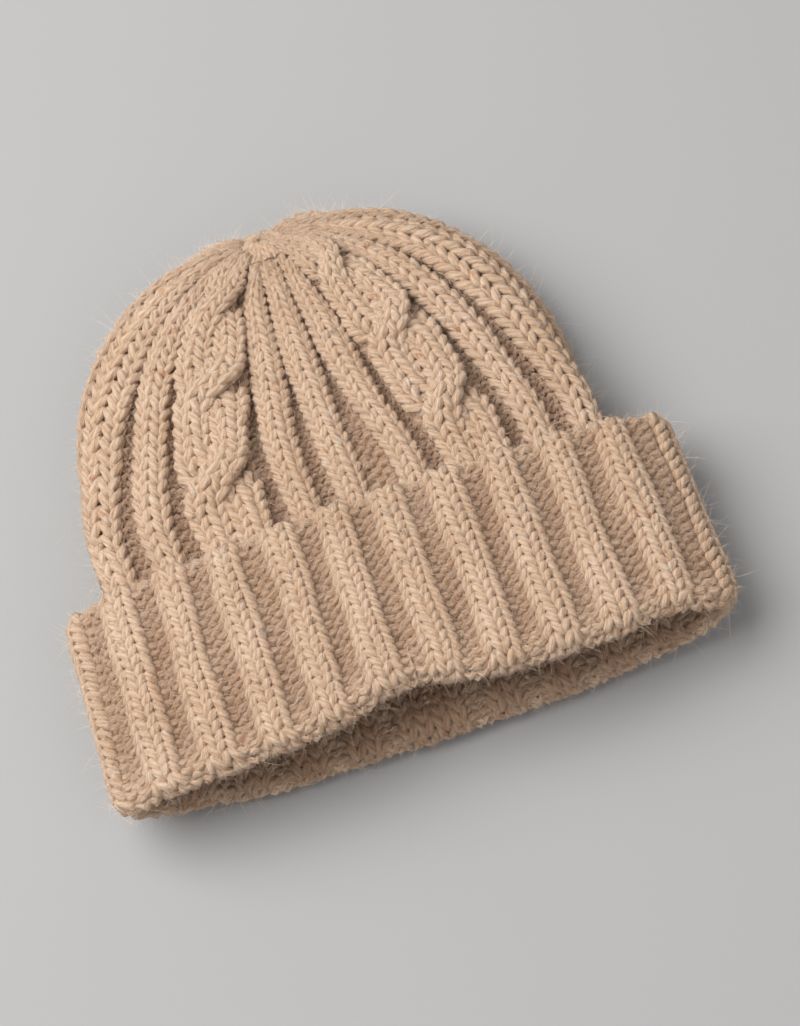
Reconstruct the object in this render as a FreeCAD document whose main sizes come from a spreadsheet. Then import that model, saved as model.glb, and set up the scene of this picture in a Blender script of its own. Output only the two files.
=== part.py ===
import FreeCAD, Part
import Sketcher
import math
import os

# A chunky knit beanie with four cables and a turned-up ribbed cuff, laid flat on its back half.
# Millimetres. X runs across the hat, Y from the opening (low) to the crown (high), Z up.
# The origin is under the middle of the lying hat, on the surface that it lies on.
#
# The hat is one knitted tube. Its wales (columns of stitches) run from the cuff's free edge, round
# the fold at the opening, up the hidden band and over the crown to the gather. The nodes are the
# zones of that fabric: raised knit ribs, cables and the recessed purl gutters between them, with
# the edges, seams and closing yarn. Every zone is a lofted strip of the tube, and neighbouring
# strips are built on the same boundary lines, so they meet face to face.

# ---------------------------------------------------------------------------------------------
# Driving dimensions
# ---------------------------------------------------------------------------------------------

SIZES = [
    ("total_length", 221.0, "fold edge to the far end of the crown, along Y"),
    ("cuff_width", 250.0, "outside width of the cuff, lying flat"),
    ("cuff_height", 85.0, "fold edge to the cuff's free edge"),
    ("cuff_taper", 2.5, "how much narrower each side of the cuff is at its free edge"),
    ("lay_height", 52.0, "height of the whole lying hat, at the cuff"),
    ("neck_draw_in", 10.5, "how much narrower each side is where the tube leaves the cuff"),
    ("crown_width", 209.0, "outside width of the crown at its shoulder"),
    ("crown_lay_height", 46.0, "height of the lying crown"),
    ("shoulder_start", 15.0, "straight stretch of the crown past the cuff's free edge"),
    ("crown_rise", 30.0, "length over which the crown rises and settles past the cuff"),
    ("gather_tilt", 20.0, "degrees the gather looks up from the Y direction"),
    ("gather_radius", 9.0, "radius of the drawn-in last round of stitches"),
    ("gather_rise", 1.6, "how far the gather's crown stands above its rim"),
    ("floor_press", 2.5, "how much the underside is flattened by lying"),
    ("cuff_rib_thickness", 8.0, "knit ribs of the cuff"),
    ("cuff_gutter_thickness", 5.0, "purl gutters of the cuff"),
    ("band_thickness", 6.0, "hidden band inside the cuff"),
    ("layer_gap", 2.0, "between the band and the cuff"),
    ("crown_rib_thickness", 7.0, "knit ribs of the crown"),
    ("crown_gutter_thickness", 4.5, "purl gutters of the crown"),
    ("cable_thickness", 8.5, "cables of the crown"),
    ("fold_depth", 6.0, "depth of the fold at the opening, along Y"),
    ("fold_round", 2.5, "how much the fold's outer edges are rounded back"),
    ("cast_on_depth", 4.0, "depth of the cuff's free cast-on edge, along Y"),
    ("band_overlap", 7.0, "how far the crown's fabric starts below the cuff's free edge"),
    ("yarn_diameter", 3.6, "diameter of the knitting yarn"),
    ("closing_ring_radius", 3.6, "radius of the yarn drawn through the last stitches"),
    ("tail_length", 40.0, "woven-in end of the closing yarn"),
    ("seam_height", 1.4, "height of the joining seam's ridge on the fabric's wrong side"),
    ("yarn_clearance", 0.3, "between the closing yarn and the fabric beside it"),
]

doc = FreeCAD.newDocument("knit_beanie")
sheet = doc.addObject("Spreadsheet::Sheet", "sizes")
for row, (alias, value, meaning) in enumerate(SIZES, start=1):
    sheet.set("A%d" % row, alias)
    sheet.set("B%d" % row, str(value))
    sheet.set("C%d" % row, meaning)
    sheet.setAlias("B%d" % row, alias)
doc.recompute()


def size(alias):
    """The sheet's value of one driving dimension."""
    return float(sheet.get(alias))


# ---------------------------------------------------------------------------------------------
# Stitch layout, one quarter of the round at a time: K knit, P purl, C cabled
# ---------------------------------------------------------------------------------------------

CROWN_FRONT = "K PP KK PP CCCC PP KK PP KK P"
CROWN_BACK = "P KK PP KK PP CCCC PP KK PP"
CUFF_FRONT = "P KK PP KK PP KK PP KK PP KK PP K"
CUFF_BACK = "K PP KK PP KK PP KK PP KK PP KK"
STITCH_WIDTH = {"K": 1.0, "P": 0.7, "C": 1.125}

OVAL_POWER = 2.35
RING_SAMPLES = 240
STEP = 1e-3
REST_TRIM = 0.3

FRONT = math.pi / 2
SIDE = 0.0
BACK = -math.pi / 2


def oval(angle):
    """Point at an angle on the unit superellipse that the hat's outlines follow."""
    across = math.cos(angle)
    upward = math.sin(angle)
    reach = (abs(across) ** OVAL_POWER + abs(upward) ** OVAL_POWER) ** (-1.0 / OVAL_POWER)
    return across * reach, upward * reach


def ease(value):
    """Smooth step from 0 to 1."""
    value = min(max(value, 0.0), 1.0)
    return value * value * (3.0 - 2.0 * value)


def blend(low, high, share):
    return low + (high - low) * share


def flattened_ring(angle, half_width, low, high):
    """Point (x, z) of a lying ring from z low to z high, flattened where it rests."""
    centre = (low - size("floor_press") + high) / 2.0
    across, upward = oval(angle)
    height = centre + upward * (high - centre)
    return across * half_width, max(height, low)


# ---------------------------------------------------------------------------------------------
# The two surfaces that carry the fabric: each is the inner face of its layer
# ---------------------------------------------------------------------------------------------

Y_FOLD = -size("total_length") / 2.0
Y_EDGE = Y_FOLD + size("cuff_height")
Y_SHOULDER = Y_EDGE + size("shoulder_start")
DOME_LENGTH = size("total_length") / 2.0 - Y_SHOULDER - size("crown_rib_thickness")


def cuff_face(angle, along):
    """Inner face of the turned-up cuff; along is 0 at the fold and 1 at the free edge."""
    wall = size("cuff_rib_thickness")
    half_width = size("cuff_width") / 2.0 - wall - size("cuff_taper") * along
    x, z = flattened_ring(angle, half_width, wall, size("lay_height") - wall)
    return FreeCAD.Vector(x, Y_FOLD + size("cuff_height") * along, z)


def layer_room():
    """Depth of everything outside the band's inner face, at the cuff."""
    return size("cuff_rib_thickness") + size("layer_gap") + size("band_thickness")


def tube_profile(y):
    """Half width, lowest and highest z of the tube's inner face at a distance along the hat."""
    band_half = size("cuff_width") / 2.0 - layer_room()
    neck_half = band_half + size("band_thickness") - size("neck_draw_in")
    neck_half -= size("crown_rib_thickness")
    crown_half = size("crown_width") / 2.0 - size("crown_rib_thickness")
    drawn_in = ease((y - Y_FOLD) / size("cuff_height") * 2.0 - 1.0)
    widened = ease((y - Y_EDGE) / size("shoulder_start"))
    half_width = blend(blend(band_half, neck_half, drawn_in), crown_half, widened)
    settled = ease((y - Y_EDGE) / size("crown_rise"))
    low = blend(layer_room(), size("crown_rib_thickness"), settled)
    band_high = size("lay_height") - layer_room()
    high = blend(band_high, size("crown_lay_height") - size("crown_rib_thickness"), settled)
    return half_width, low, high


def tube_face(angle, along):
    """Inner face of the band and crown: 0 to 1 runs up to the shoulder, 1 to 2 over the dome."""
    if along > 1.0:
        return dome_face(angle, along - 1.0)
    y = blend(Y_FOLD, Y_SHOULDER, along)
    half_width, low, high = tube_profile(y)
    x, z = flattened_ring(angle, half_width, low, high)
    return FreeCAD.Vector(x, y, z)


def dome_face(angle, share):
    """The dome: each wale runs on a great circle from the shoulder ring to the gather."""
    start = FreeCAD.Vector(math.cos(angle), 0.0, math.sin(angle))
    tilt = math.radians(size("gather_tilt"))
    pole = FreeCAD.Vector(0.0, math.cos(tilt), math.sin(tilt))
    turn = start.getAngle(pole)
    heading = start * (math.sin((1.0 - share) * turn) / math.sin(turn))
    heading = heading + pole * (math.sin(share * turn) / math.sin(turn))
    reach = sum(abs(c) ** OVAL_POWER for c in heading) ** (-1.0 / OVAL_POWER)
    y = Y_SHOULDER + heading.y * reach * DOME_LENGTH
    half_width, low, high = tube_profile(y)
    centre = (low - size("floor_press") + high) / 2.0
    z = centre + heading.z * reach * (high - centre)
    return FreeCAD.Vector(heading.x * reach * half_width, y, max(z, low))


def outward(face, angle, along, level):
    """Unit normal of a face, pointing away from the hat's inside; level keeps it in the ring's plane."""
    around = face(angle + STEP, along) - face(angle - STEP, along)
    ahead = face(angle, along + STEP) - face(angle, along - STEP)
    if level:
        ahead = FreeCAD.Vector(0.0, 1.0, 0.0)
    return ahead.cross(around).normalize()


# ---------------------------------------------------------------------------------------------
# Wales: where every stitch boundary lies round the ring
# ---------------------------------------------------------------------------------------------


def arc_table(face, along, first, last):
    """Angles sampled from first to last, with the arc length travelled at each."""
    samples = [blend(first, last, i / RING_SAMPLES) for i in range(RING_SAMPLES + 1)]
    points = [face(angle, along) for angle in samples]
    travelled = [0.0]
    for before, after in zip(points, points[1:]):
        travelled.append(travelled[-1] + before.distanceToPoint(after))
    return samples, travelled


def look_up(value, keys, results):
    """Linear interpolation in a rising table."""
    place = next(i for i in range(1, len(keys)) if keys[i] >= value or i == len(keys) - 1)
    share = (value - keys[place - 1]) / (keys[place] - keys[place - 1])
    return blend(results[place - 1], results[place], share)


def quarter_angles(face, along, layout, first, last):
    """Angles of the stitch boundaries of one quarter, spaced by arc length and stitch width."""
    samples, travelled = arc_table(face, along, first, last)
    widths = [STITCH_WIDTH[kind] for kind in layout]
    goals = [travelled[-1] * sum(widths[:count]) / sum(widths) for count in range(len(widths))]
    return [look_up(goal, travelled, samples) for goal in goals]


def round_of_stitches(face, along, front, back):
    """Kinds and boundary angles of the whole round, clockwise from the front's middle."""
    front = front.replace(" ", "")
    back = back.replace(" ", "")
    right = quarter_angles(face, along, front, FRONT, SIDE)
    right += quarter_angles(face, along, back, SIDE, BACK)
    left = [-math.pi - angle for angle in reversed(right[1:])]
    kinds = front + back + (front + back)[::-1]
    return kinds, right + [BACK] + left + [FRONT - 2.0 * math.pi]


def runs(kinds, angles):
    """Runs of equal stitches round the hat, as (kind, boundary angles), the front's middle first."""
    count = len(kinds)
    start = next(i for i in range(count, 0, -1) if kinds[i - 1] != kinds[0])
    turned = [(start + i) % count for i in range(count)]
    result = []
    for place in turned:
        first = angles[place] + (2.0 * math.pi if place >= start else 0.0)
        last = angles[place + 1] + (2.0 * math.pi if place >= start else 0.0)
        if result and result[-1][0] == kinds[place]:
            result[-1][1].append(last)
        else:
            result.append((kinds[place], [first, last]))
    return result


# ---------------------------------------------------------------------------------------------
# Strips of fabric
# ---------------------------------------------------------------------------------------------


def outline(face, angles, along, lift_in, lift_out, level, below=0.0):
    """Closed outline of a strip's cross-section; below is how far it may pass the resting surface."""
    inner = []
    outer = []
    for angle in angles:
        foot = face(angle, along)
        normal = outward(face, angle, along, level)
        lift = lift_out
        if normal.z * lift < -foot.z - below:
            lift = -(foot.z + below) / normal.z
        inner.append(foot + normal * lift_in)
        outer.append(foot + normal * lift)
    return closed_outline(inner, outer)


def closed_outline(inner, outer):
    points = inner + outer[::-1]
    return Part.makePolygon(points + [points[0]])


def gather_frame():
    """Foot of the gather on the inner face, and the face's outward normal there."""
    near_side = dome_face(SIDE, 1.0 - STEP)
    near_front = dome_face(FRONT, 1.0 - STEP)
    foot = FreeCAD.Vector(0.0, near_side.y, near_side.z)
    return foot, (foot - near_front).cross(near_side - foot).normalize() * -1.0


GATHER_FOOT, GATHER_NORMAL = gather_frame()
HALF_ROUND, HALF_ROUND_ARC = arc_table(tube_face, 1.0, FRONT, BACK)


def gather_turn(angle):
    """Direction of a wale at the gather, where the wales are spread evenly round the ring."""
    mirror = FRONT - BACK if angle > FRONT else BACK - FRONT
    if BACK <= angle <= FRONT:
        share = look_up(-angle, [-sample for sample in HALF_ROUND], HALF_ROUND_ARC)
        return FRONT - math.pi * share / HALF_ROUND_ARC[-1]
    return mirror - gather_turn(mirror - angle)


def gather_outline(angles, lift_in, lift_out):
    """Outline of a strip's end at the gather: a flat side of the ring of last stitches."""
    across = FreeCAD.Vector(1.0, 0.0, 0.0)
    upward = GATHER_NORMAL.cross(across)
    ends = []
    for turn in (gather_turn(angles[0]), gather_turn(angles[-1])):
        spoke = across * math.cos(turn) - upward * math.sin(turn)
        ends.append(GATHER_FOOT + spoke * size("gather_radius"))
    count = len(angles) - 1
    feet = [ends[0] + (ends[1] - ends[0]) * (i / count) for i in range(count + 1)]
    inner = [foot + GATHER_NORMAL * lift_in for foot in feet]
    outer = [foot + GATHER_NORMAL * lift_out for foot in feet]
    return closed_outline(inner, outer)


def strip(face, angles, stations, lift_in, lift_out, gathered=False, below=0.0):
    """Solid strip over the given boundary angles; the lifts are depths above the face."""
    under_cuff = tube_share(size("cuff_height"))
    wires = []
    for along in stations:
        lift = lift_out
        if face is tube_face and along <= under_cuff:
            lift = min(lift_out, size("band_thickness"))
        level = face is cuff_face or along <= 1.0
        wires.append(outline(face, angles, along, lift_in, lift, level, below))
    if gathered:
        wires.append(gather_outline(angles, lift_in, lift_out))
    return Part.makeLoft(wires, True, True)


def resting_strip(face, angles, stations, thickness):
    """Strip of full thickness; one that lies flat is trimmed to a plane face where it rests."""
    solid = strip(face, angles, stations, 0.0, thickness)
    if solid.BoundBox.ZMax > thickness + REST_TRIM:
        return solid
    deep = strip(face, angles, stations, 0.0, thickness + REST_TRIM, below=REST_TRIM)
    reach = 2.0 * size("total_length")
    corner = FreeCAD.Vector(-reach, -reach, 0.0)
    return deep.common(Part.makeBox(2.0 * reach, 2.0 * reach, reach, corner))


def tube_share(y):
    """Station on the tube at a distance from the fold edge."""
    return y / (Y_SHOULDER - Y_FOLD)


subparts = []


def add_part(kind, name):
    """New document object that becomes one sub-part and names its file."""
    piece = doc.addObject(kind, name)
    piece.Label = name
    subparts.append(piece)
    return piece


def add_shape(name, shape):
    piece = add_part("Part::Feature", name)
    piece.Shape = shape
    piece.Placement = FreeCAD.Placement()


# ---------------------------------------------------------------------------------------------
# Crown: ribs, cables and gutters from inside the cuff to the gather
# ---------------------------------------------------------------------------------------------

crown_start = size("cuff_height") - size("band_overlap")
CROWN_STATIONS = [tube_share(crown_start), tube_share(size("cuff_height")), 1.0]
DOME_SPANS = 8
CROWN_STATIONS += [1.0 + i / DOME_SPANS for i in range(1, DOME_SPANS)]

crown_kinds, crown_angles = round_of_stitches(tube_face, 1.0, CROWN_FRONT, CROWN_BACK)
CABLE_NAMES = ["cable_front_right", "cable_back_right", "cable_back_left", "cable_front_left"]
GUTTER_SIDES = ["front", "right", "back", "left", "front"]

crown_gutters = {}
rib_count = 0
cable_count = 0
for kind, angles in runs(crown_kinds, crown_angles):
    if kind == "K":
        rib_count += 1
        solid = strip(tube_face, angles, CROWN_STATIONS, 0.0, size("crown_rib_thickness"), True)
        add_shape("crown_rib_%02d" % rib_count, solid)
    elif kind == "C":
        solid = strip(tube_face, angles, CROWN_STATIONS, 0.0, size("cable_thickness"), True)
        add_shape(CABLE_NAMES[cable_count], solid)
        cable_count += 1
    else:
        solid = strip(tube_face, angles, CROWN_STATIONS, 0.0, size("crown_gutter_thickness"), True)
        crown_gutters.setdefault(GUTTER_SIDES[cable_count], []).append(solid)
for side_name, solids in crown_gutters.items():
    add_shape("crown_purl_" + side_name, Part.makeCompound(solids))

# ---------------------------------------------------------------------------------------------
# Cuff: ribs and gutters outside the band, with the cast-on edge at its free end
# ---------------------------------------------------------------------------------------------

fold_share = size("fold_depth") / size("cuff_height")
edge_share = 1.0 - size("cast_on_depth") / size("cuff_height")
cuff_kinds, cuff_angles = round_of_stitches(cuff_face, 0.5, CUFF_FRONT, CUFF_BACK)

cuff_gutters = {}
rib_count = 0
for kind, angles in runs(cuff_kinds, cuff_angles):
    if kind == "K":
        rib_count += 1
        stations = [fold_share, edge_share]
        solid = resting_strip(cuff_face, angles, stations, size("cuff_rib_thickness"))
        add_shape("cuff_rib_%02d" % rib_count, solid)
    else:
        wall = size("cuff_gutter_thickness")
        solid = strip(cuff_face, angles, [fold_share, edge_share], 0.0, wall)
        middle = (angles[0] + angles[-1]) / 2.0
        cuff_gutters.setdefault("front" if math.sin(middle) > 0.0 else "back", []).append(solid)
for side_name, solids in cuff_gutters.items():
    add_shape("cuff_purl_" + side_name, Part.makeCompound(solids))


def ring(stations, foot_outline):
    """Closed ring of fabric; foot_outline(angles, station) gives each cross-section's outline."""
    middle = cuff_angles.index(BACK)
    halves = []
    for half in (cuff_angles[: middle + 1], cuff_angles[middle:]):
        wires = [foot_outline(half, station) for station in stations]
        halves.append(Part.makeLoft(wires, True, True))
    return halves[0].fuse(halves[1])


def cast_on_outline(angles, along):
    """Cast-on edge: as thick as the ribs, rounded off at its free side."""
    round_off = 0.25 * size("cuff_rib_thickness") if along == 1.0 else 0.0
    lift_out = size("cuff_rib_thickness") - round_off
    return outline(cuff_face, angles, along, round_off, lift_out, True)


def fold_outline(angles, along):
    """Fold: from the band's inner face to the cuff's outer face, rounded off at the opening."""
    round_off = size("fold_round") if along == 0.0 else 0.0
    inner = []
    outer = []
    for angle in angles:
        foot = tube_face(angle, tube_share(along * size("cuff_height")))
        normal = outward(tube_face, angle, tube_share(along * size("cuff_height")), True)
        inner.append(foot + normal * round_off)
        foot = cuff_face(angle, along)
        normal = outward(cuff_face, angle, along, True)
        outer.append(foot + normal * (size("cuff_rib_thickness") - round_off))
    return closed_outline(inner, outer)


add_shape("cast_on_edge", ring([edge_share, blend(edge_share, 1.0, 0.5), 1.0], cast_on_outline))
round_share = size("fold_round") / size("cuff_height")
add_shape("turn_up_fold", ring([0.0, round_share, fold_share], fold_outline))

# ---------------------------------------------------------------------------------------------
# Band: the ribbed tube hidden inside the cuff, in four parts, front, right, back and left
# ---------------------------------------------------------------------------------------------

BAND_SPANS = 5
band_stations = [
    tube_share(blend(size("fold_depth"), crown_start, i / BAND_SPANS)) for i in range(BAND_SPANS + 1)
]
lap = len(crown_kinds)
two_rounds = crown_angles[:-1] + [angle - 2.0 * math.pi for angle in crown_angles]
cuts = [i for i in range(lap) if crown_kinds[i] == "C" and crown_kinds[i - 1] != "C"]
cuts.append(cuts[0] + lap)
for side_name, first, last in zip(("right", "back", "left", "front"), cuts, cuts[1:]):
    angles = two_rounds[first : last + 1]
    solid = strip(tube_face, angles, band_stations, 0.0, size("band_thickness"))
    add_shape("inner_band_" + side_name, solid)

# ---------------------------------------------------------------------------------------------
# Back seam: two selvedge stitches turned in and joined, on the fabric's wrong side
# ---------------------------------------------------------------------------------------------


def middle_stitches(angles):
    """Outer boundary angles of the two stitches beside the back's middle line."""
    middle = angles.index(BACK)
    return [angles[middle - 1], angles[middle + 1]]


seam_depth = -size("seam_height")
crown_seam = middle_stitches(crown_angles)
cuff_seam = middle_stitches(cuff_angles)
add_shape("back_seam_crown", strip(tube_face, crown_seam, CROWN_STATIONS[:-2], seam_depth, 0.0))
add_shape("back_seam_band", strip(tube_face, crown_seam, band_stations, seam_depth, 0.0))
add_shape("back_seam_cuff", strip(cuff_face, cuff_seam, [fold_share, edge_share], seam_depth, 0.0))

# ---------------------------------------------------------------------------------------------
# Gather: the drawn-in last stitches, and the yarn that closes them
# ---------------------------------------------------------------------------------------------

GATHER_TURN = FreeCAD.Rotation(FreeCAD.Vector(0.0, 0.0, 1.0), GATHER_NORMAL)
HUB_SHARE = 0.93


def gather_hub():
    """Domed disc of drawn-in stitches, revolved about the gather's axis."""
    body = add_part("PartDesign::Body", "crown_gather")
    sketch = body.newObject("Sketcher::SketchObject", "hub_profile")
    plane = next(f for f in body.Origin.OriginFeatures if f.Role == "XZ_Plane")
    sketch.AttachmentSupport = (plane, [""])
    sketch.MapMode = "FlatFace"
    radius = HUB_SHARE * size("gather_radius")
    rim = size("crown_rib_thickness")
    top = rim + size("gather_rise")
    ball = (radius ** 2 + size("gather_rise") ** 2) / (2.0 * size("gather_rise"))
    corners = [(0.0, 0.0), (radius, 0.0), (radius, rim), (0.0, top)]
    corners = [FreeCAD.Vector(x, y, 0.0) for x, y in corners]
    sketch.addGeometry(Part.LineSegment(corners[0], corners[1]))
    sketch.addGeometry(Part.LineSegment(corners[1], corners[2]))
    circle = Part.Circle(FreeCAD.Vector(0.0, top - ball, 0.0), FreeCAD.Vector(0.0, 0.0, 1.0), ball)
    rim_angle = math.atan2(rim - top + ball, radius)
    sketch.addGeometry(Part.ArcOfCircle(circle, rim_angle, FRONT))
    sketch.addGeometry(Part.LineSegment(corners[3], corners[0]))
    line_end, arc_centre = 2, 3
    for constraint in (
        ("Coincident", 0, 1, -1, 1),
        ("Coincident", 0, line_end, 1, 1),
        ("Coincident", 1, line_end, 2, 1),
        ("Coincident", 2, line_end, 3, 1),
        ("Coincident", 3, line_end, 0, 1),
        ("Horizontal", 0),
        ("Vertical", 1),
        ("Vertical", 3),
        ("PointOnObject", 2, arc_centre, -2),
    ):
        sketch.addConstraint(Sketcher.Constraint(*constraint))
    for kind, line, value, expression in (
        ("DistanceX", 0, radius, "sizes.gather_radius * %s" % HUB_SHARE),
        ("DistanceY", 1, rim, "sizes.crown_rib_thickness"),
    ):
        place = sketch.addConstraint(Sketcher.Constraint(kind, line, 1, line, line_end, value))
        sketch.setExpression("Constraints[%d]" % place, expression)
    place = sketch.addConstraint(Sketcher.Constraint("DistanceY", 0, 1, 3, 1, top))
    sketch.setExpression(
        "Constraints[%d]" % place, "sizes.crown_rib_thickness + sizes.gather_rise"
    )
    hub = body.newObject("PartDesign::Revolution", "hub")
    hub.Profile = sketch
    hub.ReferenceAxis = (sketch, ["V_Axis"])
    hub.Angle = 360.0
    body.Placement = FreeCAD.Placement(GATHER_FOOT, GATHER_TURN)


def closing_yarn():
    """Ring of yarn drawn through the last stitches, just inside the hub."""
    depth = size("yarn_diameter") / 2.0 + size("yarn_clearance")
    torus = add_part("Part::Torus", "closing_yarn")
    torus.setExpression("Radius1", "sizes.closing_ring_radius")
    torus.setExpression("Radius2", "sizes.yarn_diameter / 2")
    torus.Placement = FreeCAD.Placement(GATHER_FOOT - GATHER_NORMAL * depth, GATHER_TURN)


def closing_yarn_tail():
    """End of the closing yarn, darned in straight under the front middle rib."""
    depth = size("yarn_diameter") / 2.0 + 2.0 * size("yarn_clearance")
    reach = size("closing_ring_radius") + size("yarn_diameter") / 2.0 + size("yarn_clearance")
    downhill = GATHER_NORMAL.cross(FreeCAD.Vector(1.0, 0.0, 0.0)).normalize()
    start = GATHER_FOOT - downhill * reach - GATHER_NORMAL * depth
    if start.y > GATHER_FOOT.y:
        start = GATHER_FOOT + downhill * reach - GATHER_NORMAL * depth
    ahead = blend(1.0, 2.0, 0.55)
    target = tube_face(FRONT, ahead) - outward(tube_face, FRONT, ahead, False) * depth
    tail = add_part("Part::Cylinder", "closing_yarn_tail")
    tail.setExpression("Radius", "sizes.yarn_diameter / 2")
    tail.setExpression("Height", "sizes.tail_length")
    turn = FreeCAD.Rotation(FreeCAD.Vector(0.0, 0.0, 1.0), target - start)
    tail.Placement = FreeCAD.Placement(start, turn)


gather_hub()
closing_yarn()
closing_yarn_tail()

# ---------------------------------------------------------------------------------------------
# Checks and files
# ---------------------------------------------------------------------------------------------

doc.recompute()
for thing in doc.Objects:
    if "Invalid" in thing.State or "Error" in thing.State:
        raise RuntimeError("%s did not compute: %s" % (thing.Label, thing.State))
for piece in subparts:
    if piece.Shape.isNull() or not piece.Shape.isValid():
        raise RuntimeError("%s has no valid shape" % piece.Label)
    if piece.Shape.Volume <= 0.0:
        raise RuntimeError("%s is inside out" % piece.Label)

os.makedirs("parts", exist_ok=True)
for piece in subparts:
    piece.Shape.exportStep("parts/%s.step" % piece.Label)
print("%d sub-parts written" % len(subparts))
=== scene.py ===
"""Knit beanie lying on its back: ribbed turned-up cuff and cabled crown, all as yarn loops."""

import math

import bmesh
import bpy
import numpy as np
from bpy.props import FloatProperty, FloatVectorProperty, IntProperty, PointerProperty
from bpy.types import Operator, Panel, PropertyGroup
from mathutils import Matrix, Vector


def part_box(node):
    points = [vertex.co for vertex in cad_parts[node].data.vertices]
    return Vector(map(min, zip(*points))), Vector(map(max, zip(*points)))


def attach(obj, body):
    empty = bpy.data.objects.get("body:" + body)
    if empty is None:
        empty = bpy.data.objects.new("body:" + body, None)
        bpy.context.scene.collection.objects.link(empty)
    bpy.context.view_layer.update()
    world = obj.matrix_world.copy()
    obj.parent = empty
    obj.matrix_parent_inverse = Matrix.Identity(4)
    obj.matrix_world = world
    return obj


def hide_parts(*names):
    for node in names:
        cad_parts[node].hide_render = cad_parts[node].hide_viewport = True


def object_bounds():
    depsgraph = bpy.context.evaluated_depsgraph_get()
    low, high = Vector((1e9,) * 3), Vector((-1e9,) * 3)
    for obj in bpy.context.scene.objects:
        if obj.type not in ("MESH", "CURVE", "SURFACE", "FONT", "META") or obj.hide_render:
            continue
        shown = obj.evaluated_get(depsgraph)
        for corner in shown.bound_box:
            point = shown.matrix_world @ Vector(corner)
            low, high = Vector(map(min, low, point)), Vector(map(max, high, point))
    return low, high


bl_info = {
    "name": "Knit beanie",
    "version": (1, 0, 0),
    "blender": (4, 5, 0),
    "location": "View3D > Sidebar > Beanie",
    "description": "Builds a cabled and ribbed beanie stitch by stitch over its packed CAD model",
    "category": "Object",
}

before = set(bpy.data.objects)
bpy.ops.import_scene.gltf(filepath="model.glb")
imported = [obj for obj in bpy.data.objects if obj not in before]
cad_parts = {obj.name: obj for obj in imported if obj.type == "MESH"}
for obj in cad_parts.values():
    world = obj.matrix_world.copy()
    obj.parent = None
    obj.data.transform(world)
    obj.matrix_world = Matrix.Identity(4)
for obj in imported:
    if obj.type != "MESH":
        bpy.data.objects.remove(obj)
CAD_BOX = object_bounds()
MM = 0.001

# Stitch layout of a quarter of the round, the same as the CAD model's: K knit, P purl, C cabled.
CROWN_FRONT = "KPPKKPPCCCCPPKKPPKKP"
CROWN_BACK = "PKKPPKKPPCCCCPPKKPP"
CUFF_FRONT = "PKKPPKKPPKKPPKKPPKKPPK"
CUFF_BACK = "KPPKKPPKKPPKKPPKKPPKK"
STITCH_WIDTH = {"K": 1.0, "P": 0.7, "C": 1.125}

OVAL_POWER = 2.35
ANGLE_STEPS = 480
ROW_STEPS = 8
SAMPLES = 10


# ---------------------------------------------------------------------------------------------
# Properties
# ---------------------------------------------------------------------------------------------


def length(name, default, description):
    """A length property whose default is given in millimetres."""
    return FloatProperty(
        name=name, description=description, default=default * MM, min=0.0, unit="LENGTH"
    )


class BeanieSizes(PropertyGroup):
    """Sizes of the hat and of its stitches."""

    cuff_width: length("Cuff width", 250.0, "Width of the lying hat at the fold")
    cuff_height: length("Cuff height", 85.0, "Fold edge to the cuff's free edge")
    cuff_taper: length("Cuff taper", 2.5, "How much narrower each side is at the free edge")
    lay_height: length("Lying height", 52.0, "Height of the lying hat at the cuff")
    neck_draw_in: length("Neck draw-in", 10.5, "How much the tube narrows under the cuff")
    crown_width: length("Crown width", 209.0, "Outside width at the shoulder")
    crown_height: length("Crown lying height", 46.0, "Height of the lying crown")
    shoulder: length("Shoulder", 15.0, "Straight stretch of the crown past the cuff")
    crown_rise: length("Crown rise", 30.0, "Length over which the crown settles past the cuff")
    wall: length("Cuff wall", 8.0, "Thickness of the cuff's knit ribs")
    band: length("Band", 6.0, "Thickness of the band inside the cuff")
    gap: length("Layer gap", 2.0, "Gap between band and cuff")
    crown_wall: length("Crown wall", 7.0, "Thickness of the crown's knit ribs")
    press: length("Floor press", 2.5, "How much the underside is flattened by lying")
    overlap: length("Overlap", 7.0, "How far the crown's fabric starts below the cuff's edge")
    gather_radius: length("Gather radius", 6.5, "Radius where the last stitches end")
    yarn: length("Yarn", 3.85, "Diameter of the yarn")
    gather_tilt: FloatProperty(
        name="Gather tilt", description="How far the gather looks up", default=math.radians(20.0),
        subtype="ANGLE",
    )
    crown_rows: IntProperty(name="Crown rows", description="Rows from cuff to gather", default=30)
    cuff_rows: IntProperty(name="Cuff rows", description="Rows from cast-on to fold", default=21)
    band_rows: IntProperty(name="Band rows", description="Rows from fold to crown", default=17)
    halo: FloatProperty(
        name="Halo", description="Loose fibres per stitch", default=21.0, min=0.0
    )
    halo_length: length("Halo length", 2.3, "Mean length of the loose fibres")


class BeanieColours(PropertyGroup):
    """Colours of the wool and of the studio."""

    wool: FloatVectorProperty(
        name="Wool", description="Main colour of the wool", subtype="COLOR",
        default=(0.93, 0.70, 0.525), min=0.0, max=1.0,
    )
    # Shade is the colour of the darker fibres, and also the painted shade in the ply grooves.
    shade: FloatVectorProperty(
        name="Shade", description="Darker fibres of the wool", subtype="COLOR",
        default=(0.60, 0.365, 0.21), min=0.0, max=1.0,
    )
    floor: FloatVectorProperty(
        name="Floor", description="Colour of the studio floor", subtype="COLOR",
        default=(0.425, 0.426, 0.430), min=0.0, max=1.0,
    )


# ---------------------------------------------------------------------------------------------
# Surfaces that carry the fabric, in millimetres
# ---------------------------------------------------------------------------------------------


def ease(value):
    """Smooth step from 0 to 1."""
    value = np.clip(value, 0.0, 1.0)
    return value * value * (3.0 - 2.0 * value)


def blend(low, high, share):
    return low + (high - low) * share


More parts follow.
